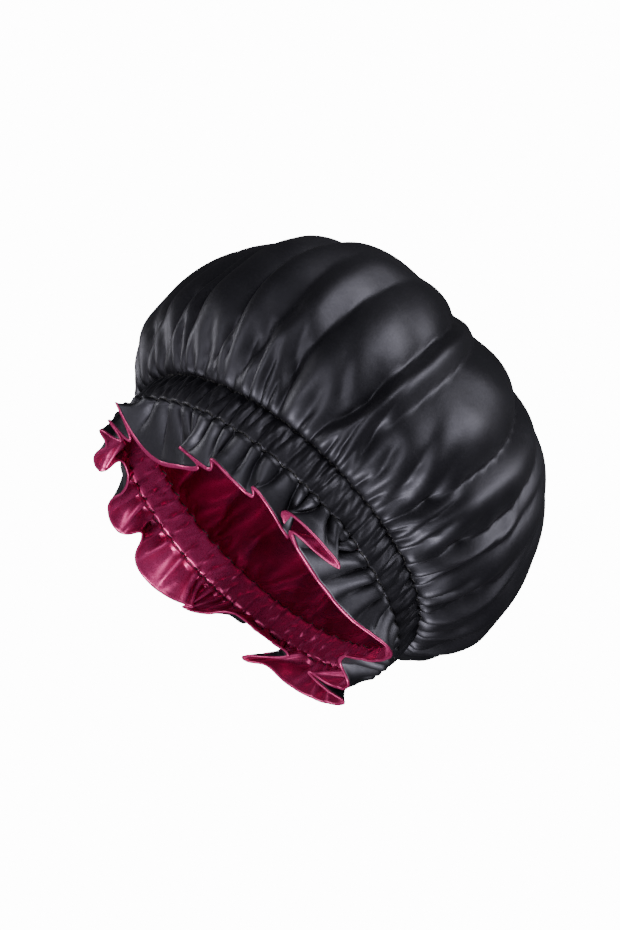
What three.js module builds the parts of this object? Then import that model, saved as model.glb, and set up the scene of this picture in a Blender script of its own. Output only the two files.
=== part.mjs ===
// A reversible satin sleep bonnet: a puffed crown, a gathered band with an elastic inside it, and a
// ruffle below the band. Every part of the cloth is two layers, a black shell and a raspberry lining.
//
// Millimetres, +Z up out of the crown, -Y the front. The origin is the centre of the elastic, where
// a head goes in. Angles run from +X towards +Y, so the front is at 270 degrees.
import * as THREE from "three";

// Driving sizes.
const BAND_RADIUS = 92; // the elastic's own middle line, stretched round a head
const BAND_HALF_WIDTH = 9; // from the middle of the band to either row of stitches
const CROWN_RADIUS = 128; // the widest part of the crown
const CROWN_WAIST_HEIGHT = 58; // how high above the elastic that is
const CROWN_HEIGHT = 142; // the top of the crown above the elastic
const CROWN_TOP_POWER = 2.15; // a superellipse: 2 is a plain ellipse, more is fuller
const CROWN_TUCK_END = 64; // degrees of a quarter ellipse that the underside turns through
const CROWN_SAG = 6; // the crown's fullness hangs this far towards +X
const RUFFLE_DROP = 20; // from the lower stitches to the ruffle's edge
const RUFFLE_FLARE = 3; // how much wider the ruffle's edge is than the band
const CLOTH = 1.2; // each layer's wall
const LAYER_GAP = 0.3; // between the shell and the lining, and between sewn pieces
const ELASTIC_WIDTH = 12;
const ELASTIC_THICKNESS = 0.8;
const PUCKER = 2; // how far the cloth stands off the elastic between two puckers
const SEAM_PUCKER = 1; // the same, in and out, where it is stitched down

// How finely each piece is divided.
const CROWN_COLUMNS = 72;
const CROWN_TOP_ROWS = 5;
const CROWN_UNDERSIDE_ROWS = 4;
const ELASTIC_COLUMNS = 48;
const RUFFLE_COLUMNS_PER_FLUTE = 6;
const RUFFLE_ROWS = 2;

// The crown's soft valleys between its lobes. Angle and width in degrees, depth in millimetres, and
// top is how far up the crown the valley runs, from 0 at the band to 1 at the top.
const CROWN_VALLEYS = [
  { angle: 186, width: 7, depth: 9, top: 0.72 },
  { angle: 201, width: 8, depth: 11, top: 0.8 },
  { angle: 221, width: 7, depth: 9, top: 0.75 },
  { angle: 239, width: 8, depth: 11, top: 0.72 },
  { angle: 257, width: 8, depth: 11, top: 0.78 },
  { angle: 275, width: 7, depth: 12, top: 0.86 },
  { angle: 291, width: 8, depth: 10, top: 0.66 },
  { angle: 309, width: 8, depth: 12, top: 0.72 },
  { angle: 326, width: 7, depth: 10, top: 0.62 },
  { angle: 343, width: 8, depth: 11, top: 0.66 },
  { angle: 2, width: 9, depth: 11, top: 0.7 },
  { angle: 24, width: 8, depth: 10, top: 0.76 },
  { angle: 45, width: 9, depth: 11, top: 0.68 },
  { angle: 66, width: 8, depth: 11, top: 0.78 },
  { angle: 88, width: 9, depth: 10, top: 0.7 },
  { angle: 109, width: 8, depth: 12, top: 0.74 },
  { angle: 131, width: 9, depth: 10, top: 0.8 },
  { angle: 152, width: 8, depth: 11, top: 0.68 },
  { angle: 169, width: 7, depth: 10, top: 0.74 },
];

// The ruffle's flutes, in order round the edge. Angle in degrees; swing is how far the flute's crest
// stands out past the valleys at the edge, and drop how far it hangs below them, in millimetres.
const FLUTES = [
  { angle: 4, swing: 20, drop: 2 },
  { angle: 29, swing: 17, drop: -2 },
  { angle: 55, swing: 21, drop: 1 },
  { angle: 80, swing: 18, drop: 3 },
  { angle: 107, swing: 22, drop: -1 },
  { angle: 132, swing: 18, drop: 1 },
  { angle: 157, swing: 19, drop: -2 },
  { angle: 181, swing: 20, drop: 2 },
  { angle: 207, swing: 24, drop: 3 },
  { angle: 232, swing: 17, drop: -1 },
  { angle: 254, swing: 16, drop: 1 },
  { angle: 278, swing: 19, drop: 2 },
  { angle: 305, swing: 24, drop: 3 },
  { angle: 332, swing: 20, drop: -1 },
];

const black = new THREE.MeshStandardMaterial({ color: 0x131317, roughness: 0.38, metalness: 0 });
const raspberry = new THREE.MeshStandardMaterial({ color: 0x7d1238, roughness: 0.34, metalness: 0 });
const white = new THREE.MeshStandardMaterial({ color: 0xdedcd6, roughness: 0.8, metalness: 0 });

const radians = THREE.MathUtils.degToRad;
const smooth = (x, from, to) => THREE.MathUtils.smoothstep(x, from, to);

// The angle from b to a, in degrees, from -180 to 180.
const turn = (a, b) => THREE.MathUtils.euclideanModulo(a - b + 180, 360) - 180;

// A point at a radius and angle about the bonnet's own middle line, which leans towards +X.
function pointAt(radius, degrees, height, lean) {
  const a = radians(degrees);
  return new THREE.Vector3(radius * Math.cos(a) + lean, radius * Math.sin(a), height);
}

// The crown's outline: radius and height, from the top (0) by way of the waist (1) to the band (2).
function crownOutline(t) {
  if (t <= 1) {
    const a = (t * Math.PI) / 2;
    const power = 2 / CROWN_TOP_POWER;
    const rise = CROWN_HEIGHT - CROWN_WAIST_HEIGHT;
    return [CROWN_RADIUS * Math.sin(a) ** power, CROWN_WAIST_HEIGHT + rise * Math.cos(a) ** power];
  }
  const end = radians(CROWN_TUCK_END);
  const a = (t - 1) * end;
  const tuck = (CROWN_RADIUS - BAND_RADIUS) / (1 - Math.cos(end));
  const fall = (CROWN_WAIST_HEIGHT - BAND_HALF_WIDTH) / Math.sin(end);
  return [CROWN_RADIUS - tuck * (1 - Math.cos(a)), CROWN_WAIST_HEIGHT - fall * Math.sin(a)];
}

// How deep the valleys are at an angle, at a height of share 0 (band) to 1 (top).
function valleyDepth(degrees, share) {
  let depth = 0;
  for (const valley of CROWN_VALLEYS) {
    const across = turn(degrees, valley.angle) / valley.width;
    const along = smooth(share, 0, 0.25) * (1 - smooth(share, valley.top - 0.25, valley.top + 0.1));
    depth += valley.depth * along * Math.exp(-across * across);
  }
  return depth;
}

// The middle of the crown's two layers: one row of points for each step from the top to the band.
function crownRows() {
  const rows = [];
  const steps = CROWN_TOP_ROWS + CROWN_UNDERSIDE_ROWS;
  for (let j = 1; j <= steps; j++) {
    const t = j <= CROWN_TOP_ROWS ? j / CROWN_TOP_ROWS : 1 + (j - CROWN_TOP_ROWS) / CROWN_UNDERSIDE_ROWS;
    const [radius, height] = crownOutline(t);
    const share = height / CROWN_HEIGHT;
    const lean = CROWN_SAG * Math.sin(Math.PI * Math.min(1, t / 2)) ** 2;
    const pucker = SEAM_PUCKER * smooth(t, 1.2, 2);
    const row = [];
    for (let i = 0; i < CROWN_COLUMNS; i++) {
      const degrees = (i * 360) / CROWN_COLUMNS;
      const inAndOut = i % 2 ? pucker : -pucker;
      row.push(pointAt(radius - valleyDepth(degrees, share) + inAndOut, degrees, height, lean));
    }
    rows.push(row);
  }
  const last = rows[rows.length - 1];
  last.forEach((p) => (p.z += LAYER_GAP));
  return rows;
}

// The band between its two rows of stitches. side is 1 for the shell and -1 for the lining: between
// the stitches the two layers stand apart round the elastic, and pucker away from it.
function bandRows(side) {
  const tunnel = ELASTIC_WIDTH / 2 + LAYER_GAP;
  const stand = ELASTIC_THICKNESS / 2 + LAYER_GAP + CLOTH / 2;
  const sewn = (LAYER_GAP + CLOTH) / 2;
  return [BAND_HALF_WIDTH, tunnel, -tunnel, -BAND_HALF_WIDTH].map((height) => {
    const atStitches = Math.abs(height) === BAND_HALF_WIDTH;
    const row = [];
    for (let i = 0; i < CROWN_COLUMNS; i++) {
      const degrees = (i * 360) / CROWN_COLUMNS;
      const seam = sewn * side + (i % 2 ? SEAM_PUCKER : -SEAM_PUCKER);
      const open = (stand + (i % 2 === (side > 0 ? 1 : 0) ? PUCKER : 0)) * side;
      row.push(pointAt(BAND_RADIUS + (atStitches ? seam : open), degrees, height, 0));
    }
    return row;
  });
}

// The middle of the ruffle's two layers, from the lower stitches to the edge.
function ruffleRows() {
  const rows = [];
  for (let j = 0; j <= RUFFLE_ROWS; j++) {
    const share = j / RUFFLE_ROWS;
    const row = [];
    FLUTES.forEach((flute, k) => {
      const next = FLUTES[(k + 1) % FLUTES.length];
      const gap = turn(next.angle, flute.angle);
      for (let i = 0; i < RUFFLE_COLUMNS_PER_FLUTE; i++) {
        const along = i / RUFFLE_COLUMNS_PER_FLUTE;
        const crest = (1 + Math.cos(2 * Math.PI * along)) / 2;
        const swing = THREE.MathUtils.lerp(flute.swing, next.swing, along);
        const drop = THREE.MathUtils.lerp(flute.drop, next.drop, along);
        const out = (crest - 0.5) * THREE.MathUtils.lerp(2 * SEAM_PUCKER, swing, share);
        const radius = BAND_RADIUS + RUFFLE_FLARE * share + out;
        const height = -BAND_HALF_WIDTH - LAYER_GAP - (RUFFLE_DROP + drop * crest) * share;
        row.push(pointAt(radius, flute.angle + gap * along, height, 0));
      }
    });
    rows.push(row);
  }
  return rows;
}

// The outward direction at each point of a grid of rows that go right round. It is level in the
// rows that are sewn to a neighbour.
function outward(rows, sewnRows) {
  return rows.map((row, j) =>
    row.map((_, i) => {
      const n = row.length;
      const above = rows[Math.max(0, j - 1)][i];
      const below = rows[Math.min(rows.length - 1, j + 1)][i];
      const across = row[(i + 1) % n].clone().sub(row[(i + n - 1) % n]);
      const direction = above.clone().sub(below).cross(across).negate();
      if (sewnRows.includes(j)) direction.z = 0;
      return direction.normalize();
    }),
  );
}

// The same rows, moved along their outward directions.
function offset(rows, directions, distance) {
  return rows.map((row, j) => row.map((p, i) => p.clone().addScaledVector(directions[j][i], distance)));
}

// One layer of cloth: outer and inner rows, joined at the lower edge, and at the upper edge either
// joined as well or, with a top point for each face, closed over.
function clothWall(outer, inner, tops) {
  const n = outer[0].length;
  const last = outer.length - 1;
  const points = [...outer.flat(), ...inner.flat()];
  const at = (face, j, i) => face * outer.length * n + j * n + (i % n);
  const faces = [];
  const quad = (a, b, c, d) => faces.push(a, b, c, a, c, d);
  for (let i = 0; i < n; i++) {
    for (let j = 0; j < last; j++) {
      quad(at(0, j, i), at(0, j + 1, i), at(0, j + 1, i + 1), at(0, j, i + 1));
      quad(at(1, j, i), at(1, j, i + 1), at(1, j + 1, i + 1), at(1, j + 1, i));
    }
    quad(at(0, last, i), at(1, last, i), at(1, last, i + 1), at(0, last, i + 1));
    if (tops) {
      const top = points.length;
      faces.push(top, at(0, 0, i), at(0, 0, i + 1));
      faces.push(top + 1, at(1, 0, i + 1), at(1, 0, i));
    } else {
      quad(at(0, 0, i), at(0, 0, i + 1), at(1, 0, i + 1), at(1, 0, i));
    }
  }
  if (tops) points.push(...tops);
  return new THREE.BufferGeometry().setFromPoints(points).setIndex(faces);
}

// A layer of cloth whose own middle is at a distance outside (or, if negative, inside) the rows.
function layer(rows, distance, sewnRows, top) {
  const directions = outward(rows, sewnRows);
  const outer = offset(rows, directions, distance + CLOTH / 2);
  const inner = offset(rows, directions, distance - CLOTH / 2);
  const tops = top && [top + CLOTH / 2, top - CLOTH / 2].map((z) => new THREE.Vector3(0, 0, z + distance));
  return clothWall(outer, inner, tops);
}

function elasticGeometry() {
  const half = ELASTIC_WIDTH / 2;
  const inside = BAND_RADIUS - ELASTIC_THICKNESS / 2;
  const outside = BAND_RADIUS + ELASTIC_THICKNESS / 2;
  const section = [
    new THREE.Vector2(inside, -half),
    new THREE.Vector2(outside, -half),
    new THREE.Vector2(outside, half),
    new THREE.Vector2(inside, half),
    new THREE.Vector2(inside, -half),
  ];
  return new THREE.LatheGeometry(section, ELASTIC_COLUMNS);
}

const bonnet = new THREE.Group();

function add(name, geometry, material) {
  const mesh = new THREE.Mesh(geometry, material);
  mesh.name = name;
  bonnet.add(mesh);
  return mesh;
}

const apart = (LAYER_GAP + CLOTH) / 2;
const crown = crownRows();
const ruffle = ruffleRows();
const crownSeam = [crown.length - 1];
const ruffleSeam = [0];
const bandSeams = [0, 1, 2, 3];
add("crown_shell", layer(crown, apart, crownSeam, CROWN_HEIGHT), black);
add("crown_lining", layer(crown, -apart, crownSeam, CROWN_HEIGHT), raspberry);
add("band_shell", layer(bandRows(1), 0, bandSeams), black);
add("band_lining", layer(bandRows(-1), 0, bandSeams), raspberry);
add("ruffle_shell", layer(ruffle, apart, ruffleSeam), black);
add("ruffle_lining", layer(ruffle, -apart, ruffleSeam), raspberry);
const elastic = add("elastic", elasticGeometry(), white);
elastic.rotation.x = Math.PI / 2; // a lathe turns about Y, and the elastic about Z

export default bonnet;
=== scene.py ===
"""A reversible satin sleep bonnet: puffed crown, gathered band and fluted ruffle, each of two layers.

The cloth is one wide circle of double satin. It is laid out in rows from the middle of the crown
to the ruffle's edge, gathered onto the elastic, relaxed as a cloth simulation, and then split at
the two rows of stitches into a black shell and a raspberry lining. Everything is in metres, +Z up
out of the crown and -Y the front. Angles run from +X towards +Y, so the front is at 270 degrees.
"""
import math

import bpy
import numpy as np
from mathutils import Matrix, Vector


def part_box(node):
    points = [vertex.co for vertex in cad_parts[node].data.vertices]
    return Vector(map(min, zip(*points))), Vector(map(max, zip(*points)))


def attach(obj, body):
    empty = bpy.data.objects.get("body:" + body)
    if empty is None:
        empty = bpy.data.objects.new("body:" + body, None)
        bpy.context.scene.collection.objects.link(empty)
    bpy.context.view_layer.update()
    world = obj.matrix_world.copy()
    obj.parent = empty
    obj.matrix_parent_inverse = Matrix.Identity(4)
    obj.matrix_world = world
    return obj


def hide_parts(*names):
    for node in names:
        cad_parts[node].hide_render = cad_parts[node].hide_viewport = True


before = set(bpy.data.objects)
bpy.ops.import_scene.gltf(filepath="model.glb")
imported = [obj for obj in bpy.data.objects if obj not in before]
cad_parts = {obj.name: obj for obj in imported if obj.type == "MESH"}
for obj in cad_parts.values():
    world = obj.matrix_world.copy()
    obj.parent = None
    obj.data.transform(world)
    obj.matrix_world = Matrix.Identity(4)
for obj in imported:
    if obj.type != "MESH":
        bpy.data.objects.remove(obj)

bl_info = {
    "name": "Satin Sleep Bonnet",
    "version": (1, 0, 0),
    "blender": (4, 5, 0),
    "location": "3D View > Sidebar > Bonnet",
    "description": "Builds a two-layer satin sleep bonnet with a gathered elastic band and a ruffle",
    "category": "Add Mesh",
}

MM = 0.001
TAU = 2 * math.pi
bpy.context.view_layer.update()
ELASTIC_LOW, ELASTIC_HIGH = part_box("elastic")
ELASTIC_HALF = 0.4 * MM     # half its thickness
CROWN_LOW, CROWN_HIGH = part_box("crown_shell")
BAND_LOW, BAND_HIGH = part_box("band_shell")

# Folds of the crown, in order round it. Angle and width in degrees; depth in millimetres; high is
# how far up the fold runs, as a share of the way from the band to the middle of the crown; bend is
# how many degrees it turns aside on its way up; tip is how far, as a share of the depth, its floor
# slides sideways under the next lobe; crease is 0 for a soft valley and 1 for a sharp one.
CROWN_FOLDS = [
    dict(angle=184, width=5.0, depth=10, high=0.72, bend=5, tip=0.2, crease=0.3),
    dict(angle=196, width=4.5, depth=11, high=0.80, bend=4, tip=0.4, crease=0.4),
    dict(angle=206, width=4.0, depth=8, high=0.62, bend=2, tip=-0.2, crease=0.4),
    dict(angle=219, width=5.0, depth=11, high=0.84, bend=-1, tip=0.5, crease=0.5),
    dict(angle=232, width=4.5, depth=8, high=0.60, bend=3, tip=0.2, crease=0.3),
    dict(angle=245, width=6.0, depth=11, high=0.76, bend=5, tip=-0.3, crease=0.4),
    dict(angle=259, width=6.0, depth=14, high=0.88, bend=6, tip=0.5, crease=0.6),
    dict(angle=273, width=6.5, depth=12, high=0.90, bend=8, tip=-0.3, crease=0.4),
    dict(angle=290, width=6.0, depth=13, high=0.88, bend=12, tip=0.45, crease=0.7),
    dict(angle=306, width=5.5, depth=13, high=0.72, bend=12, tip=0.5, crease=0.6),
    dict(angle=318, width=4.5, depth=10, high=0.56, bend=6, tip=-0.3, crease=0.6),
    dict(angle=330, width=5.0, depth=11, high=0.60, bend=2, tip=0.5, crease=0.5),
    dict(angle=343, width=5.0, depth=10, high=0.66, bend=-5, tip=-0.4, crease=0.5),
    dict(angle=356, width=5.5, depth=11, high=0.58, bend=-8, tip=0.3, crease=0.4),
    dict(angle=10, width=5.0, depth=9, high=0.70, bend=-4, tip=0.4, crease=0.3),
    dict(angle=25, width=6.0, depth=11, high=0.82, bend=4, tip=-0.3, crease=0.4),
    dict(angle=41, width=5.0, depth=10, high=0.60, bend=-4, tip=0.3, crease=0.4),
    dict(angle=56, width=5.5, depth=12, high=0.78, bend=5, tip=0.5, crease=0.5),
    dict(angle=72, width=5.0, depth=9, high=0.58, bend=3, tip=-0.3, crease=0.3),
    dict(angle=87, width=6.0, depth=12, high=0.86, bend=-3, tip=0.4, crease=0.5),
    dict(angle=103, width=5.0, depth=10, high=0.62, bend=4, tip=-0.4, crease=0.4),
    dict(angle=118, width=5.5, depth=11, high=0.80, bend=-4, tip=0.3, crease=0.4),
    dict(angle=134, width=5.0, depth=9, high=0.58, bend=-3, tip=0.5, crease=0.3),
    dict(angle=150, width=5.5, depth=12, high=0.76, bend=3, tip=-0.3, crease=0.5),
    dict(angle=167, width=5.0, depth=10, high=0.66, bend=-2, tip=0.3, crease=0.4),
]

# Where the ruffle's edge turns, in order along the edge: the angle round the bonnet in degrees, and
# the radius and the drop below the elastic in millimetres. Where the angle runs backwards, the
# flute folds over its neighbour.
RUFFLE_TURNS = [
    dict(angle=195, radius=106, drop=20), dict(angle=197, radius=84, drop=27),
    dict(angle=203, radius=68, drop=29), dict(angle=222, radius=68, drop=29),
    dict(angle=236, radius=74, drop=28), dict(angle=221, radius=82, drop=26),
    dict(angle=230, radius=80, drop=28), dict(angle=243, radius=78, drop=29),
    dict(angle=238, radius=88, drop=26), dict(angle=247, radius=87, drop=29),
    dict(angle=262, radius=81, drop=28), dict(angle=255, radius=90, drop=26),
    dict(angle=265, radius=87, drop=28), dict(angle=281, radius=74, drop=28),
    dict(angle=267.5, radius=87, drop=24), dict(angle=282, radius=96, drop=25),
    dict(angle=295, radius=100, drop=26), dict(angle=285, radius=91, drop=28),
    dict(angle=273, radius=86, drop=28), dict(angle=288, radius=78, drop=30),
    dict(angle=303, radius=79, drop=30), dict(angle=313, radius=86, drop=30),
    dict(angle=323, radius=107, drop=26), dict(angle=338, radius=92, drop=24),
    dict(angle=365, radius=72, drop=22), dict(angle=364, radius=88, drop=27),
    dict(angle=380, radius=86, drop=26), dict(angle=394, radius=78, drop=24),
    dict(angle=380, radius=88, drop=29), dict(angle=369, radius=95, drop=31),
    dict(angle=385, radius=93, drop=32), dict(angle=407, radius=88, drop=30),
    dict(angle=412, radius=82, drop=28), dict(angle=418, radius=88, drop=31),
    dict(angle=426, radius=91, drop=31), dict(angle=416, radius=82, drop=28),
    dict(angle=398, radius=74, drop=22), dict(angle=415, radius=70, drop=22),
    dict(angle=434, radius=68, drop=21), dict(angle=444, radius=86, drop=27),
    dict(angle=453, radius=97, drop=30), dict(angle=446, radius=84, drop=27),
    dict(angle=457, radius=100, drop=30), dict(angle=466, radius=104, drop=31),
    dict(angle=473, radius=98, drop=31), dict(angle=484, radius=80, drop=23),
    dict(angle=482, radius=97, drop=30), dict(angle=497, radius=93, drop=30),
    dict(angle=511, radius=75, drop=24), dict(angle=523, radius=82, drop=19),
    dict(angle=510, radius=93, drop=27), dict(angle=523, radius=95, drop=28),
    dict(angle=532, radius=86, drop=26), dict(angle=539, radius=98, drop=27),
    dict(angle=550, radius=80, drop=29), dict(angle=546, radius=100, drop=24),
    dict(angle=555, radius=78, drop=29),
]

PUCKERS = 72                # pleats of the cloth at the upper stitches
LOWER_PUCKERS = 64          # and at the lower ones
SEAM_PLEAT = 2.0 * MM       # how far the pleats swing in and out where they are stitched
LEAN = 9 * MM               # how far the top of the crown leans towards -X
CROWN_COLUMNS = 600
CROWN_ROWS = 80
RIM_COLUMNS = 960           # round the band and the ruffle
BAND_ROWS = 14
RUFFLE_ROWS = 22
STITCHES = 150              # in each row
THREAD = 0.3 * MM           # half the thread's thickness
HEM_ROLL = 0.65 * MM        # half the thickness of the lining's rolled edge
LAYER = 0.25 * MM           # each satin's thickness
LAYERS_APART = 0.6 * MM     # between the middles of the two satins


def smooth(x, start, end):
    t = np.clip((np.asarray(x, float) - start) / (end - start), 0.0, 1.0)
    return t * t * (3 - 2 * t)


def turn(a, b):
    """The angle from b to a, in degrees, from -180 to 180."""
    return (a - b + 180.0) % 360.0 - 180.0


class Outline:
    """The bonnet's outline from the middle of the crown to the upper stitches."""

    def __init__(self, sizes):
        self.band_radius = sizes.band_radius
        self.band_half = sizes.band_width / 2
        self.height = sizes.height
        self.radius = sizes.crown_radius
        self.waist = sizes.waist_height
        points = self._points()
        steps = np.linalg.norm(np.diff(points, axis=0), axis=1)
        self._s = np.concatenate([[0.0], np.cumsum(steps)])
        self._points = points
        self.seam_at = self._s[-1]

    def _points(self):
        power = 2 / 2.15
        rise = self.height - self.waist
        a = np.linspace(0, math.pi / 2, 300)
        top = np.stack([self.radius * np.sin(a) ** power,
                        self.waist + rise * np.maximum(np.cos(a), 0) ** power], -1)
        end = math.radians(76)
        b = np.linspace(0, end, 200)[1:]
        tuck = (self.radius - self.band_radius) / (1 - math.cos(end))
        fall = (self.waist - self.band_half) / math.sin(end)
        under = np.stack([self.radius - tuck * (1 - np.cos(b)), self.waist - fall * np.sin(b)], -1)
        return np.concatenate([top, under])

    def at(self, s):
        """Radius and height at a distance s along the cloth from the middle."""
        r = np.interp(s, self._s, self._points[:, 0])
        z = np.interp(s, self._s, self._points[:, 1])
        return r, z

    def normal(self, s):
        """The outward direction there, as radius and height parts."""
        r0, z0 = self.at(np.clip(s - 0.5 * MM, 0, self.seam_at))
        r1, z1 = self.at(np.clip(s + 0.5 * MM, 0, self.seam_at))
        dr, dz = r1 - r0, z1 - z0
        length = np.hypot(dr, dz)
        return -dz / length, dr / length

    def fullness(self, s):
        """How much longer the cut cloth is round a row than the row before it is relaxed."""
        marks = [0, 0.60, 0.80, 1.0]
        shares = [0.985, 0.985, 1.02, 1.12]
        return np.interp(s / self.seam_at, marks, shares)


def pucker_wave(degrees, seed, count=PUCKERS):
    """Uneven pleats round the band, from -1 to 1, with rounded ridges and narrow valleys."""
    rng = np.random.default_rng(seed)
    widths = rng.uniform(0.55, 1.45, count)
    ends = np.cumsum(widths) / widths.sum() * 360.0
    heights = rng.uniform(0.55, 1.0, count)
    place = np.asarray(degrees) % 360.0
    index = np.searchsorted(ends, place, side="right") % count
    starts = np.concatenate([[0.0], ends[:-1]])
    along = (place - starts[index]) / (ends[index] - starts[index])
    ridge = np.abs(np.sin(math.pi * along)) ** 0.75
    return (2 * ridge - 1) * heights[index]


def seam_ring(outline, angles, side):
    """The line that is stitched: side is 1 for the upper seam and -1 for the lower."""
    degrees = np.degrees(angles)
    pleat = pucker_wave(degrees, 11) if side > 0 else pucker_wave(degrees + 1.5, 31, LOWER_PUCKERS)
    radius = outline.band_radius + pleat * SEAM_PLEAT
    return np.stack([radius * np.cos(angles), radius * np.sin(angles),
                     np.full(len(angles), side * outline.band_half)], -1)


def crown_start(outline, columns, s_rows):
    """The crown before it is relaxed: the plain form, with its folds and puckers hinted."""
    degrees = np.arange(columns) * 360.0 / columns
    r, z = outline.at(s_rows)
    nr, nz = outline.normal(s_rows)
    share = (1 - s_rows / outline.seam_at)[:, None]
    lift = np.zeros((len(s_rows), columns))
    aside = np.zeros_like(lift)
    for fold in CROWN_FOLDS:
        middle = fold["angle"] + fold["bend"] * share / 0.5
        spread = fold["width"] * (0.75 + 1.1 * share)
        across = turn(degrees[None, :], middle) / spread
        soft = np.exp(-across ** 2)
        sharp = np.exp(-np.abs(across) * 1.5)
        shape = soft + (sharp - soft) * fold["crease"]
        up = smooth(share, 0.0, 0.14) * (1 - smooth(share, fold["high"] - 0.42, fold["high"]))
        depth = fold["depth"] * MM * up
        lift -= depth * shape
        aside += depth * fold["tip"] * soft
    lift += 2.5 * MM * smooth(share, 0.02, 0.2) * (1 - smooth(share, 0.5, 0.8))
    rng = np.random.default_rng(5)
    for _ in range(90):
        middle, up = rng.uniform(0, 360), rng.uniform(0.10, 0.72)
        width, tall = rng.uniform(3, 8), rng.uniform(0.04, 0.12)
        slope, depth = rng.uniform(-60, 60), rng.uniform(-2.2, 1.8) * MM
        across = turn(degrees[None, :], middle + slope * (share - up)) / width
        lift += depth * np.exp(-across ** 2 - ((share - up) / tall) ** 2)
    pleats = [(PUCKERS, 11, 0.0, 0.045, 1.2, 0.0), (PUCKERS, 11, 0.035, 0.05, 2.4, 1.0),
              (61, 12, 0.09, 0.06, 2.6, 2.0), (37, 13, 0.16, 0.07, 2.2, 3.0)]
    for count, seed, middle, width, height, drift in pleats:
        near = np.exp(-((share - middle) / width) ** 2) * height * MM
        lift += near * pucker_wave(degrees[None, :] + drift * share / 0.1, seed, count)
    a = np.radians(degrees)[None, :]
    radius = r[:, None] + lift * nr[:, None]
    height = z[:, None] + lift * nz[:, None]
    lean = -LEAN * smooth(share, 0.1, 0.9)
    x = radius * np.cos(a) - aside * np.sin(a) + lean
    y = radius * np.sin(a) + aside * np.cos(a)
    rows = np.stack([x, y, height], -1)
    if share[-1, 0] <= 0:
        rows[-1] = seam_ring(outline, a[0], 1)
    return rows


def grid_faces(rows, columns, flip=False):
    """Quads of a grid whose rows go right round."""
    j, i = np.meshgrid(np.arange(rows - 1), np.arange(columns), indexing="ij")
    k = (i + 1) % columns
    quads = np.stack([j * columns + i, (j + 1) * columns + i,
                      (j + 1) * columns + k, j * columns + k], -1).reshape(-1, 4)
    return quads[:, ::-1] if flip else quads


def new_mesh(name, vertices, quads=None, triangles=None):
    """A mesh object from arrays of vertices, quads and triangles."""
    mesh = bpy.data.meshes.new(name)
    faces = []
    if quads is not None:
        faces += np.asarray(quads).tolist()
    if triangles is not None:
        faces += np.asarray(triangles).tolist()
    mesh.from_pydata(np.asarray(vertices).reshape(-1, 3).tolist(), [], faces)
    mesh.polygons.foreach_set("use_smooth", [True] * len(mesh.polygons))
    mesh.update()
    piece = bpy.data.objects.new(name, mesh)
    bpy.context.scene.collection.objects.link(piece)
    return piece


def relax_cloth(rows, round_rest, down_rest, held, frames, swell, stiffness=0.5, keep=None):
    """Relaxes gathered cloth: a particle for each point of the rows, joined by threads round,
    down and across, which hold their cut lengths, and by stays that resist sharp bending.

    round_rest is the cut length from each point to the next in its row, and down_rest between rows. held is
    1 where the cloth is sewn down and 0 where it is free. swell pushes it outwards in each frame.
    """
    place = rows.copy()
    before = place.copy()
    free = (1.0 - held)[..., None]
    columns = rows.shape[1]
    even, odd = slice(0, columns, 2), slice(1, columns, 2)
    round_rest = round_rest[..., None]
    down_rest = down_rest[:, None, None]
    cross_rest = np.sqrt(((round_rest[:-1] + round_rest[1:]) / 2) ** 2 + down_rest ** 2)

    def pull(a, b, rest, free_a, free_b, strength, only_short=False):
        gap = b - a
        length = np.sqrt((gap * gap).sum(-1, keepdims=True))
        error = (length - rest) / np.maximum(length, 1e-9)
        if only_short:
            error = np.minimum(error, 0.0)
        move = gap * error * (strength / np.maximum(free_a + free_b, 1e-6))
        return move * free_a, move * free_b

    for _ in range(frames):
        step = (place - before) * 0.92
        before = place.copy()
        place = place + step * free
        if swell:
            place = place + outward(place) * swell * free
        for first in (even, odd):
            follow = np.roll(place, -1, 1)
            free_next = np.roll(free, -1, 1)
            da, db = pull(place[:, first], follow[:, first], round_rest[:, first], free[:, first],
                          free_next[:, first], 1.0)
            place[:, first] += da
            index = (np.arange(columns)[first] + 1) % columns
            place[:, index] -= db
        for start in (0, 1):
            upper = place[start:-1:2]
            lower = place[start + 1::2][:len(upper)]
            upper = upper[:len(lower)]
            n = len(lower)
            da, db = pull(upper, lower, down_rest[start::2][:n], free[start:-1:2][:n],
                          free[start + 1::2][:n], 1.0)
            place[start:-1:2][:n] += da
            place[start + 1::2][:n] -= db
        for direction in (1, -1):
            lower = np.roll(place[1:], -direction, 1)
            free_lower = np.roll(free[1:], -direction, 1)
            da, db = pull(place[:-1], lower, cross_rest, free[:-1], free_lower, 0.25)
            place[:-1] += da
            place[1:] -= np.roll(db, direction, 1)
        for reach, part in ((2, 0.93), (4, 0.80)):
            beyond = np.roll(place, -reach, 1)
            free_beyond = np.roll(free, -reach, 1)
            da, db = pull(place, beyond, reach * part * round_rest, free, free_beyond,
                          stiffness * 0.5, True)
            place = place + (da - np.roll(db, reach, 1)) * 0.5
        for reach, part in ((2, 0.98), (4, 0.94)):
            rest = reach * part * down_rest.mean()
            da, db = pull(place[:-reach], place[reach:], rest, free[:-reach], free[reach:],
                          stiffness, True)
            place[:-reach] += da * 0.5
            place[reach:] -= db * 0.5
        if keep is not None:
            place = place + (rows - place) * keep * free
    return place


def relax_crown(outline, s_rows, rows, frames, swell, keep):
    """Relaxes the crown's rows, sewn to the band at the last of them."""
    columns = rows.shape[1]
    steps = np.linalg.norm(np.roll(rows, -1, 1) - rows, axis=-1)
    round_rest = steps * outline.fullness(s_rows)[:, None]
    held = np.zeros(rows.shape[:2])
    held[-1] = 1.0
    held[0] = 1.0
    return relax_cloth(rows, round_rest, np.diff(s_rows), held, frames, swell, keep=keep)


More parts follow.
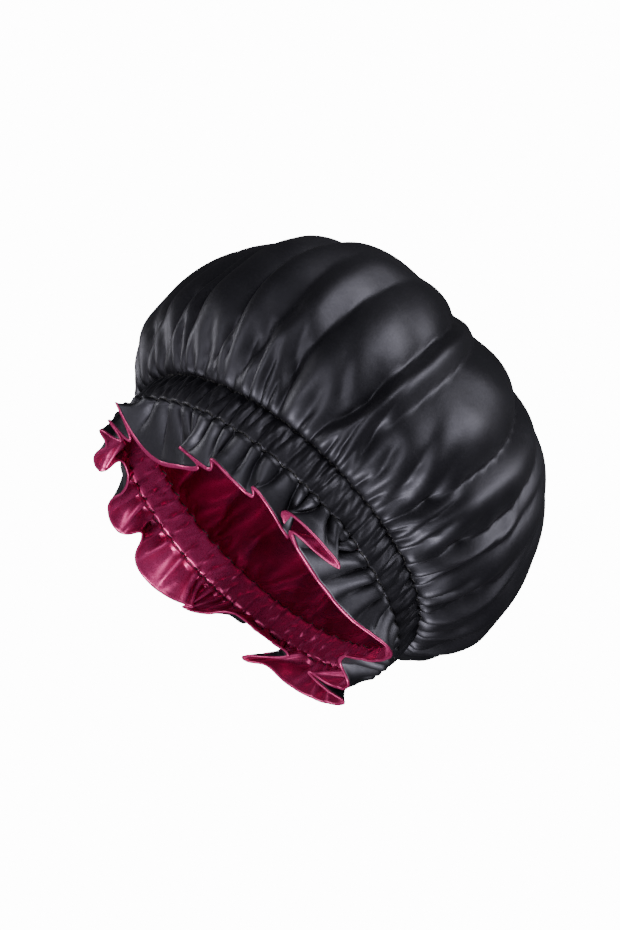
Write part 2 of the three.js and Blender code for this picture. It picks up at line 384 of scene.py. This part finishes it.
def spline_rows(values, fine):
    """Values along their first axis, carried to finer even steps on one smooth cubic curve."""
    count = len(values)
    place = np.linspace(0, count - 1, fine)
    k = np.minimum(place.astype(int), count - 2)
    t = (place - k).reshape((-1,) + (1,) * (values.ndim - 1))
    before = np.where(k > 0, k - 1, 0)
    after = np.minimum(k + 2, count - 1)
    p0, p1, p2, p3 = values[before], values[k], values[k + 1], values[after]
    return 0.5 * (2 * p1 + (p2 - p0) * t + (2 * p0 - 5 * p1 + 4 * p2 - p3) * t ** 2
                  + (3 * p1 - p0 - 3 * p2 + p3) * t ** 3)


def spline_round(rows, fine):
    """Rows that go right round, carried to another number of columns on smooth curves."""
    columns = rows.shape[1]
    place = np.arange(fine) * columns / fine
    k = place.astype(int)
    t = (place - k)[None, :, None]
    p0, p1 = rows[:, (k - 1) % columns], rows[:, k % columns]
    p2, p3 = rows[:, (k + 1) % columns], rows[:, (k + 2) % columns]
    return 0.5 * (2 * p1 + (p2 - p0) * t + (2 * p0 - 5 * p1 + 4 * p2 - p3) * t ** 2
                  + (3 * p1 - p0 - 3 * p2 + p3) * t ** 3)


def soften_round(rows, width, passes=1):
    """Rows that go right round, softened along each row."""
    for _ in range(passes):
        total = rows.copy()
        for step in range(1, width + 1):
            total = total + np.roll(rows, step, 1) + np.roll(rows, -step, 1)
        rows = total / (2 * width + 1)
    return rows


def soften_down(rows, passes):
    """Rows softened from row to row, with the first and last left as they are."""
    for _ in range(passes):
        middle = rows[1:-1] * 0.5 + (rows[:-2] + rows[2:]) * 0.25
        rows = np.concatenate([rows[:1], middle, rows[-1:]])
    return rows


def outward(rows):
    """The outward direction at each point of a grid of rows that go right round."""
    across = np.roll(rows, -1, 1) - np.roll(rows, 1, 1)
    down = np.gradient(rows, axis=0)
    normal = np.cross(down, across)
    return normal / np.maximum(np.linalg.norm(normal, axis=-1, keepdims=True), 1e-12)


def level(direction):
    """Directions turned level, as at the stitches."""
    flat = direction * [1, 1, 0]
    return flat / np.maximum(np.linalg.norm(flat, axis=-1, keepdims=True), 1e-9)


def ruffle_edge(columns):
    """The ruffle's edge as one closed smooth curve, in even steps along the cloth."""
    angle = np.radians([t["angle"] for t in RUFFLE_TURNS])
    radius = np.array([t["radius"] for t in RUFFLE_TURNS]) * MM
    height = -np.array([t["drop"] for t in RUFFLE_TURNS]) * MM
    points = np.stack([radius * np.cos(angle), radius * np.sin(angle), height], -1)
    curve = []
    count = len(points)
    for k in range(count):
        p = [points[(k + d) % count] for d in (-1, 0, 1, 2)]
        knots = [0.0]
        for a, b in zip(p[:-1], p[1:]):
            knots.append(knots[-1] + math.sqrt(np.linalg.norm(b - a)))
        t = np.linspace(knots[1], knots[2], 24, endpoint=False)[:, None]

        def mix(a, b, ta, tb):
            return a * (tb - t) / (tb - ta) + b * (t - ta) / (tb - ta)

        first = [mix(p[i], p[i + 1], knots[i], knots[i + 1]) for i in range(3)]
        second = [mix(first[i], first[i + 1], knots[i], knots[i + 2]) for i in range(2)]
        curve.append(mix(second[0], second[1], knots[1], knots[2]))
    curve = np.concatenate(curve)
    closed = np.concatenate([curve, curve[:1]])
    lengths = np.concatenate([[0.0], np.cumsum(np.linalg.norm(np.diff(closed, axis=0), axis=1))])
    place = np.arange(columns) * lengths[-1] / columns
    even = np.stack([np.interp(place, lengths, closed[:, c]) for c in range(3)], -1)
    return soften_round(even[None], 4, 3)[0]


def edge_to_seam(edge):
    """Where on the band each column of the ruffle is sewn: the edge's own angle, evened out."""
    angle = np.unwrap(np.arctan2(edge[:, 1], edge[:, 0]))
    columns = len(angle)
    even = angle[0] + np.arange(columns) * TAU / columns
    offset = (angle - even)[None, :, None]
    eased = soften_round(offset, 40, 3)[0, :, 0]
    place = even + eased
    gaps = np.diff(np.concatenate([place, [place[0] + TAU]]))
    gaps = np.maximum(gaps, 0.25 * TAU / columns)
    gaps *= TAU / gaps.sum()
    return place[0] + np.concatenate([[0.0], np.cumsum(gaps[:-1])])


def band_grid(outline, angles, side):
    """One layer of the band between its stitches, puffed away from the elastic on its own side."""
    degrees = np.degrees(angles)
    edge = outline.band_half + 0.2 * MM
    height = np.linspace(edge, -edge, BAND_ROWS)
    share = np.clip(height / outline.band_half, -1, 1)
    wave = pucker_wave(degrees, 11)
    other = pucker_wave(degrees + 1.5, 31, LOWER_PUCKERS)
    small = pucker_wave(degrees, 37, 141)
    offset = []
    for s in share:
        blend = smooth(s, -0.9, 0.9)
        slant = pucker_wave(degrees + 2.5 * s, 53, 90) * (1 - s * s)
        pleat = wave * blend + other * (1 - blend) + slant * (0.2 if side > 0 else 0.8)
        gap = 1 - s * s
        stand = LAYERS_APART / 2 + gap * (0.9 * MM + small * 0.5 * MM) + side * pleat * SEAM_PLEAT
        clear = (ELASTIC_HALF + 0.25 * MM) * smooth(1 - abs(s), 0.0, 0.3)
        offset.append(side * np.where(clear > 0, np.maximum(stand, clear), stand))
    radius = outline.band_radius + np.array(offset)
    return np.stack([radius * np.cos(angles), radius * np.sin(angles),
                     np.repeat(height[:, None], len(angles), 1)], -1)


def ruffle_grid(outline, edge, angles):
    """The middle of the ruffle's two layers, from the lower stitches to its edge."""
    degrees = np.degrees(angles)
    wave = pucker_wave(degrees + 1.5, 31, LOWER_PUCKERS)
    seam = seam_ring(outline, angles, -1)
    reach = edge - seam
    softer = [soften_round(reach[None], width, 3)[0] for width in (0, 5, 10, 16)]
    rows = []
    for share in np.linspace(0, 1, RUFFLE_ROWS):
        level = (1 - share) * (len(softer) - 1)
        low = min(int(level), len(softer) - 2)
        blend = level - low
        rows.append(seam + (softer[low] * (1 - blend) + softer[low + 1] * blend) * share)
    rows = np.array(rows)
    share = np.linspace(0, 1, RUFFLE_ROWS)[:, None, None]
    ripple = (wave * 3.4 * MM)[None, :, None]
    fade = np.exp(-(share / 0.5) ** 2) * smooth(share, 0.0, 0.12)
    return rows + outward(rows) * ripple * fade


def wall(name, outer, inner, top=None):
    """One satin as a closed wall between two grids of rows, joined along both edges."""
    rows, columns = outer.shape[:2]
    count = rows * columns
    points = [outer.reshape(-1, 3), inner.reshape(-1, 3)]
    quads = [grid_faces(rows, columns), grid_faces(rows, columns, True) + count]
    i = np.arange(columns)
    k = (i + 1) % columns
    last = (rows - 1) * columns
    quads.append(np.stack([last + i, count + last + i, count + last + k, last + k], -1))
    triangles = None
    if top is None:
        quads.append(np.stack([i, k, count + k, count + i], -1))
    else:
        points.append(np.asarray(top))
        triangles = np.concatenate([
            np.stack([np.full(columns, 2 * count), i, k], -1),
            np.stack([np.full(columns, 2 * count + 1), count + k, count + i], -1)])
    return new_mesh(name, np.concatenate(points), np.concatenate(quads), triangles)


def layers(rows, directions):
    """The outer and inner faces of the shell and of the lining, from the rows between them."""
    half = LAYER / 2
    middle = LAYERS_APART / 2
    return [(rows + directions * (side * middle + half), rows + directions * (side * middle - half))
            for side in (1, -1)]


def satin(name, colour, highlight, tint, roughness, metallic, gloss):
    """A satin: a smooth face of floats with a fine grain that flecks a painted sheen into its colour,
    uneven gloss and soft creasing.
    """
    material = bpy.data.materials.new(name)
    material.use_nodes = True
    nodes = material.node_tree.nodes
    links = material.node_tree.links
    shader = nodes["Principled BSDF"]
    weave = nodes.new("ShaderNodeGroup")
    weave.node_tree = satin_weave()
    weave.inputs["Colour"].default_value = (*colour, 1)
    # The highlight is a painted sheen: the grain flecks this brighter colour into the base colour.
    weave.inputs["Bright"].default_value = (*highlight, 1)
    weave.inputs["Roughness"].default_value = roughness
    links.new(weave.outputs["Colour"], shader.inputs["Base Color"])
    links.new(weave.outputs["Roughness"], shader.inputs["Roughness"])
    bump = nodes.new("ShaderNodeBump")
    bump.inputs["Strength"].default_value = 1.0
    bump.inputs["Distance"].default_value = 1.0
    links.new(weave.outputs["Height"], bump.inputs["Height"])
    links.new(bump.outputs["Normal"], shader.inputs["Normal"])
    shader.inputs["Specular IOR Level"].default_value = gloss
    shader.inputs["Anisotropic"].default_value = 0.35
    shader.inputs["Metallic"].default_value = metallic
    shader.inputs["Specular Tint"].default_value = (*tint, 1)
    return material


def satin_weave():
    """The node group that both satins use: thread grain, a painted sheen that the grain flecks into the
    colour, and soft creasing.
    """
    name = "satin_weave"
    if name in bpy.data.node_groups:
        return bpy.data.node_groups[name]
    group = bpy.data.node_groups.new(name, "ShaderNodeTree")
    sockets = group.interface
    sockets.new_socket("Colour", in_out="INPUT", socket_type="NodeSocketColor")
    sockets.new_socket("Bright", in_out="INPUT", socket_type="NodeSocketColor")
    sockets.new_socket("Roughness", in_out="INPUT", socket_type="NodeSocketFloat")
    sockets.new_socket("Colour", in_out="OUTPUT", socket_type="NodeSocketColor")
    sockets.new_socket("Roughness", in_out="OUTPUT", socket_type="NodeSocketFloat")
    sockets.new_socket("Height", in_out="OUTPUT", socket_type="NodeSocketFloat")
    nodes, links = group.nodes, group.links
    given = nodes.new("NodeGroupInput")
    result = nodes.new("NodeGroupOutput")
    place = nodes.new("ShaderNodeTexCoord")

    def noise(scale, detail):
        node = nodes.new("ShaderNodeTexNoise")
        node.inputs["Scale"].default_value = scale
        node.inputs["Detail"].default_value = detail
        links.new(place.outputs["Object"], node.inputs["Vector"])
        return node.outputs["Fac"]

    def ranged(value, low, high):
        node = nodes.new("ShaderNodeMapRange")
        node.inputs["From Min"].default_value = 0.3
        node.inputs["From Max"].default_value = 0.7
        node.inputs["To Min"].default_value = low
        node.inputs["To Max"].default_value = high
        links.new(value, node.inputs["Value"])
        return node.outputs["Result"]

    def math_node(operation, a, b):
        node = nodes.new("ShaderNodeMath")
        node.operation = operation
        for socket, value in zip(node.inputs, (a, b)):
            if isinstance(value, float):
                socket.default_value = value
            else:
                links.new(value, socket)
        return node.outputs[0]

    grain = noise(1900.0, 2.0)
    cloud = noise(60.0, 3.0)
    crease = noise(160.0, 2.0)
    # The colour is flecked with the bright colour wherever the fine grain is high; on the satins this is a
    # painted sheen.
    mix = nodes.new("ShaderNodeMix")
    mix.data_type = "RGBA"
    links.new(ranged(grain, 0.0, 0.35), mix.inputs["Factor"])
    links.new(given.outputs["Colour"], mix.inputs["A"])
    links.new(given.outputs["Bright"], mix.inputs["B"])
    links.new(mix.outputs["Result"], result.inputs["Colour"])
    uneven = math_node("ADD", ranged(grain, -0.06, 0.06), ranged(cloud, -0.03, 0.03))
    links.new(math_node("ADD", given.outputs["Roughness"], uneven), result.inputs["Roughness"])
    height = math_node("ADD", ranged(grain, -0.000002, 0.000002), ranged(crease, -0.00003, 0.00003))
    links.new(height, result.inputs["Height"])
    return group


def colour_property(name, description, default):
    return bpy.props.FloatVectorProperty(name=name, description=description, default=default,
                                         size=3, min=0.0, max=1.0, subtype="COLOR")


def length_property(name, description, default):
    return bpy.props.FloatProperty(name=name, description=description, default=default,
                                   min=0.0, subtype="DISTANCE", unit="LENGTH")


class BonnetSizes(bpy.types.PropertyGroup):
    band_radius: length_property("Band radius", "Middle radius of the elastic",
                                 (ELASTIC_HIGH[0] - ELASTIC_LOW[0]) / 2 - ELASTIC_HALF)
    band_width: length_property("Band width", "Between the two rows of stitches",
                                BAND_HIGH[2] - BAND_LOW[2])
    crown_radius: length_property("Crown radius", "The widest part of the crown", 0.1195)
    waist_height: length_property("Waist height", "Height of the widest part over the elastic", 0.058)
    height: length_property("Height", "Top of the crown over the elastic", CROWN_HIGH[2] + 2 * MM)


class BonnetColours(bpy.types.PropertyGroup):
    # The two highlight colours are a painted sheen, which the grain flecks into each satin's colour.
    shell: colour_property("Shell", "Black satin", (0.002, 0.002, 0.0027))
    shell_painted_sheen: colour_property("Shell highlight", "Sheen of the black satin", (0.010, 0.0095, 0.013))
    lining: colour_property("Lining", "Raspberry satin", (0.30, 0.011, 0.080))
    lining_painted_sheen: colour_property("Lining highlight", "Sheen of the raspberry", (0.70, 0.11, 0.32))


def finish_piece(piece, node, material):
    piece.data.materials.append(material)
    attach(piece, "root")
    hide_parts(node)


def satins():
    colours = bpy.context.scene.bonnet_colours
    shell = bpy.data.materials.get("black_cloth") or satin(
        "black_cloth", colours.shell, colours.shell_painted_sheen, (0.76, 0.74, 0.90), 0.50, 0.0, 0.60)
    lining = bpy.data.materials.get("raspberry_cloth") or satin(
        "raspberry_cloth", colours.lining, colours.lining_painted_sheen, (1.0, 0.50, 0.66), 0.34, 0.6, 1.0)
    return [(shell, "black_satin"), (lining, "raspberry_satin")]


class BONNET_OT_crown(bpy.types.Operator):
    """Builds the two satins of the puffed crown"""
    bl_idname = "bonnet.crown"
    bl_label = "Crown"

    def execute(self, context):
        outline = Outline(context.scene.bonnet_sizes)
        coarse_s = np.linspace(0.012, outline.seam_at, CROWN_ROWS // 2)
        fine_s = np.linspace(0.012, outline.seam_at, CROWN_ROWS)
        rows = crown_start(outline, CROWN_COLUMNS // 2, coarse_s)
        relaxed = relax_crown(outline, coarse_s, rows, 140, 0.004 * MM, 0.02)
        moved = soften_down(soften_round(relaxed - rows, 3, 3), 4)
        rows = rows + moved * smooth(1 - coarse_s / outline.seam_at, 0.0, 0.06)[:, None, None]
        fine = spline_rows(spline_round(rows, CROWN_COLUMNS), CROWN_ROWS)
        fine[-1] = crown_start(outline, CROWN_COLUMNS, fine_s[-1:])[0]
        normals = outward(fine)
        normals[-1] = level(fine[-1])
        top = fine[0].mean(axis=0)
        for (name, side), faces, (material, slot_name) in zip(
                (("crown_satin", 1), ("crown_lining_satin", -1)), layers(fine, normals), satins()):
            tops = [top + [0, 0, side * LAYERS_APART / 2 + h] for h in (LAYER / 2, -LAYER / 2)]
            piece = wall(name, *faces, tops)
            node = "crown_shell" if side > 0 else "crown_lining"
            finish_piece(piece, node, material)
        return {"FINISHED"}


class BONNET_OT_band(bpy.types.Operator):
    """Builds the gathered band round the elastic"""
    bl_idname = "bonnet.band"
    bl_label = "Band"

    def execute(self, context):
        outline = Outline(context.scene.bonnet_sizes)
        angles = np.arange(RIM_COLUMNS) * TAU / RIM_COLUMNS
        for name, side, (material, slot_name), node in (
                ("band_satin", 1, satins()[0], "band_shell"),
                ("band_lining_satin", -1, satins()[1], "band_lining")):
            grid = band_grid(outline, angles, side)
            normals = outward(grid)
            half = LAYER / 2
            piece = wall(name, grid + normals * half, grid - normals * half)
            finish_piece(piece, node, material)
        return {"FINISHED"}


class BONNET_OT_ruffle(bpy.types.Operator):
    """Builds the fluted ruffle below the band"""
    bl_idname = "bonnet.ruffle"
    bl_label = "Ruffle"

    def execute(self, context):
        outline = Outline(context.scene.bonnet_sizes)
        edge = ruffle_edge(RIM_COLUMNS)
        angles = edge_to_seam(edge)
        rows = ruffle_grid(outline, edge, angles)
        normals = outward(rows)
        normals[0] = level(rows[0])
        shell, lining = layers(rows, normals)
        shell = [face[:-1] for face in shell]
        lining[0][-2:] = rows[-2:] + normals[-2:] * HEM_ROLL * np.array([1.0, 0.6])[:, None, None]
        lining[1][-2:] = rows[-2:] - normals[-2:] * HEM_ROLL * np.array([1.0, 0.6])[:, None, None]
        for name, faces, (material, slot_name), node in zip(
                ("ruffle_satin", "ruffle_lining_satin"), (shell, lining), satins(),
                ("ruffle_shell", "ruffle_lining")):
            piece = wall(name, *faces)
            finish_piece(piece, node, material)
        return {"FINISHED"}


def tubes(paths, radius, sides=6):
    """Vertices and quads of short closed tubes, one along each path of points."""
    count, steps = paths.shape[:2]
    along = np.gradient(paths, axis=1)
    along /= np.linalg.norm(along, axis=-1, keepdims=True)
    across = np.cross(along, [0.0, 0.0, 1.0])
    across /= np.linalg.norm(across, axis=-1, keepdims=True)
    third = np.cross(along, across)
    turns = np.arange(sides) * TAU / sides
    ends = np.sin(np.linspace(0.12, 0.88, steps) * math.pi)[None, :, None, None] ** 0.5
    ring = (across[:, :, None] * np.cos(turns)[:, None] + third[:, :, None] * np.sin(turns)[:, None])
    points = paths[:, :, None] + ring * radius * ends
    t, j, i = np.meshgrid(np.arange(count), np.arange(steps - 1), np.arange(sides), indexing="ij")
    k = (i + 1) % sides
    base = (t * steps + j) * sides
    quads = np.stack([base + i, base + sides + i, base + sides + k, base + k], -1).reshape(-1, 4)
    fans = []
    for first, order in ((0, (0, 1, 2, 3)), ((steps - 1) * sides, (3, 2, 1, 0))):
        start = (np.arange(count) * steps * sides + first)[:, None]
        fans.append(start + np.array(order))
        fans.append(start + np.array([(part + 3) % sides for part in order]))
    return points.reshape(-1, 3), np.concatenate([quads, *fans])


def thread(name, colour):
    """A dull twisted sewing thread."""
    material = bpy.data.materials.new(name)
    material.use_nodes = True
    nodes, links = material.node_tree.nodes, material.node_tree.links
    shader = nodes["Principled BSDF"]
    weave = nodes.new("ShaderNodeGroup")
    weave.node_tree = satin_weave()
    weave.inputs["Colour"].default_value = (*colour, 1)
    weave.inputs["Bright"].default_value = (*[4 * part for part in colour], 1)
    weave.inputs["Roughness"].default_value = 0.6
    links.new(weave.outputs["Colour"], shader.inputs["Base Color"])
    links.new(weave.outputs["Roughness"], shader.inputs["Roughness"])
    return material


def woven_elastic(material):
    """Gives the elastic its cross ribs, its thread grain and a slightly uneven white."""
    nodes, links = material.node_tree.nodes, material.node_tree.links
    shader = nodes["Principled BSDF"]
    weave = nodes.new("ShaderNodeGroup")
    weave.node_tree = satin_weave()
    weave.inputs["Colour"].default_value = (0.62, 0.61, 0.57, 1)
    weave.inputs["Bright"].default_value = (0.85, 0.84, 0.80, 1)
    weave.inputs["Roughness"].default_value = 0.8
    links.new(weave.outputs["Colour"], shader.inputs["Base Color"])
    links.new(weave.outputs["Roughness"], shader.inputs["Roughness"])
    place = nodes.new("ShaderNodeTexCoord")
    ribs = nodes.new("ShaderNodeTexWave")
    ribs.bands_direction = "Z"
    ribs.inputs["Scale"].default_value = 260.0
    ribs.inputs["Distortion"].default_value = 0.6
    links.new(place.outputs["Object"], ribs.inputs["Vector"])
    bump = nodes.new("ShaderNodeBump")
    bump.inputs["Strength"].default_value = 0.6
    bump.inputs["Distance"].default_value = 0.0002
    links.new(ribs.outputs["Fac"], bump.inputs["Height"])
    links.new(bump.outputs["Normal"], shader.inputs["Normal"])


def pale_floor(tree):
    """A pale matt floor that looks white and throws little light back up at the satin."""
    nodes, links = tree.nodes, tree.links
    matt = nodes["Principled BSDF"]
    matt.inputs["Base Color"].default_value = (0.10, 0.10, 0.10, 1)
    matt.inputs["Roughness"].default_value = 0.9
    matt.inputs["Specular IOR Level"].default_value = 0.0
    white = nodes.new("ShaderNodeEmission")
    white.inputs["Color"].default_value = (1, 1, 0.99, 1)
    white.inputs["Strength"].default_value = 14.0
    path = nodes.new("ShaderNodeLightPath")
    mix = nodes.new("ShaderNodeMixShader")
    links.new(path.outputs["Is Camera Ray"], mix.inputs["Fac"])
    links.new(matt.outputs["BSDF"], mix.inputs[1])
    links.new(white.outputs["Emission"], mix.inputs[2])
    links.new(mix.outputs["Shader"], nodes["Material Output"].inputs["Surface"])


class BONNET_OT_stitches(bpy.types.Operator):
    """Sews the two rows of stitches on both faces of the band"""
    bl_idname = "bonnet.stitches"
    bl_label = "Stitches"

    def execute(self, context):
        outline = Outline(context.scene.bonnet_sizes)
        starts = np.arange(STITCHES) * TAU / STITCHES
        angles = starts[:, None] + np.linspace(0, 0.7, 5)[None, :] * TAU / STITCHES
        for name, face in (("shell_stitches", 1), ("lining_stitches", -1)):
            paths = []
            for side in (1, -1):
                path = seam_ring(outline, angles.reshape(-1), side).reshape(STITCHES, 5, 3)
                paths.append(path + level(path) * face * (LAYERS_APART / 2 + LAYER / 2 + THREAD / 2))
            points, quads = tubes(np.concatenate(paths), THREAD)
            piece = new_mesh(name, points, quads)
            piece.data.materials.append(thread(name, (0.004, 0.003, 0.004)))
            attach(piece, "root")
        return {"FINISHED"}


class BONNET_OT_elastic(bpy.types.Operator):
    """Finishes the elastic inside the band"""
    bl_idname = "bonnet.elastic"
    bl_label = "Elastic"

    def execute(self, context):
        woven_elastic(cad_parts["elastic"].data.materials[0])
        return {"FINISHED"}


class BONNET_OT_stage(bpy.types.Operator):
    """Sets the floor, the soft lights and the camera"""
    bl_idname = "bonnet.stage"
    bl_label = "Floor, lights and camera"

    def execute(self, context):
        scene = context.scene
        bpy.ops.mesh.primitive_plane_add(size=6, location=(0, 0, -1.2))
        floor = context.active_object
        floor.name = "floor"
        pale = bpy.data.materials.new("pale_floor")
        pale.use_nodes = True
        pale_floor(pale.node_tree)
        floor.data.materials.append(pale)

        target = Vector((0, 0, 0.055))
        elevation = math.radians(-24)
        roll = math.radians(45)
        back = Vector((0, -math.cos(elevation), math.sin(elevation)))
        right = Vector((1, 0, 0))
        up = back.cross(right)
        side = right * math.cos(roll) + up * math.sin(roll)
        top = -right * math.sin(roll) + up * math.cos(roll)
        aim = target - side * 0.0135 - top * 0.0036
        camera_data = bpy.data.cameras.new("camera")
        camera = bpy.data.objects.new("camera", camera_data)
        scene.collection.objects.link(camera)
        camera_data.sensor_width = 36
        camera_data.sensor_fit = "AUTO"
        camera_data.lens = 104.1
        place = aim + back * 1.4
        axes = Matrix((side, top, back)).transposed().to_4x4()
        camera.matrix_world = Matrix.Translation(place) @ axes
        scene.camera = camera

        for name, across, upward, towards, size, power in (
                ("key", 0.85, 0.55, 0.35, 0.9, 19.0),
                ("front_fill", -0.35, 0.15, 0.95, 0.6, 6.5),
                ("left_edge", -0.95, 0.35, -0.1, 0.5, 8.0),
                ("low_fill", -0.3, -0.75, 0.6, 0.5, 24.0)):
            light_data = bpy.data.lights.new(name, "AREA")
            light_data.shape = "SQUARE"
            light_data.size = size
            light_data.energy = power
            light = bpy.data.objects.new(name, light_data)
            scene.collection.objects.link(light)
            direction = (side * across + top * upward + back * towards).normalized()
            light.location = target + direction * 1.2
            light.rotation_euler = direction.to_track_quat("Z", "Y").to_euler()

        world = bpy.data.worlds.new("studio")
        scene.world = world
        world.use_nodes = True
        nodes, links = world.node_tree.nodes, world.node_tree.links
        backdrop = nodes["Background"]
        backdrop.inputs["Color"].default_value = (1, 1, 1, 1)
        backdrop.inputs["Strength"].default_value = 14.0
        soft = nodes.new("ShaderNodeBackground")
        soft.inputs["Color"].default_value = (0.93, 0.95, 1.0, 1)
        soft.inputs["Strength"].default_value = 0.04
        path = nodes.new("ShaderNodeLightPath")
        mix = nodes.new("ShaderNodeMixShader")
        links.new(path.outputs["Is Camera Ray"], mix.inputs["Fac"])
        links.new(soft.outputs["Background"], mix.inputs[1])
        links.new(backdrop.outputs["Background"], mix.inputs[2])
        links.new(mix.outputs["Shader"], nodes["World Output"].inputs["Surface"])
        return {"FINISHED"}


class BONNET_PT_panel(bpy.types.Panel):
    """Lists the bonnet's pieces"""
    bl_idname = "BONNET_PT_panel"
    bl_label = "Satin Sleep Bonnet"
    bl_space_type = "VIEW_3D"
    bl_region_type = "UI"
    bl_category = "Bonnet"

    def draw(self, context):
        for operator in OPERATORS:
            self.layout.operator(operator.bl_idname)


OPERATORS = (BONNET_OT_stage, BONNET_OT_crown, BONNET_OT_band, BONNET_OT_ruffle,
             BONNET_OT_stitches, BONNET_OT_elastic)
CLASSES = (BonnetSizes, BonnetColours, *OPERATORS, BONNET_PT_panel)


def register():
    for cls in CLASSES:
        bpy.utils.register_class(cls)
    bpy.types.Scene.bonnet_sizes = bpy.props.PointerProperty(type=BonnetSizes)
    bpy.types.Scene.bonnet_colours = bpy.props.PointerProperty(type=BonnetColours)


def unregister():
    del bpy.types.Scene.bonnet_colours
    del bpy.types.Scene.bonnet_sizes
    for cls in reversed(CLASSES):
        bpy.utils.unregister_class(cls)


def main():
    register()
    bpy.ops.bonnet.stage()
    bpy.ops.bonnet.crown()
    bpy.ops.bonnet.band()
    bpy.ops.bonnet.ruffle()
    bpy.ops.bonnet.stitches()
    bpy.ops.bonnet.elastic()


if __name__ == "__main__":
    main()
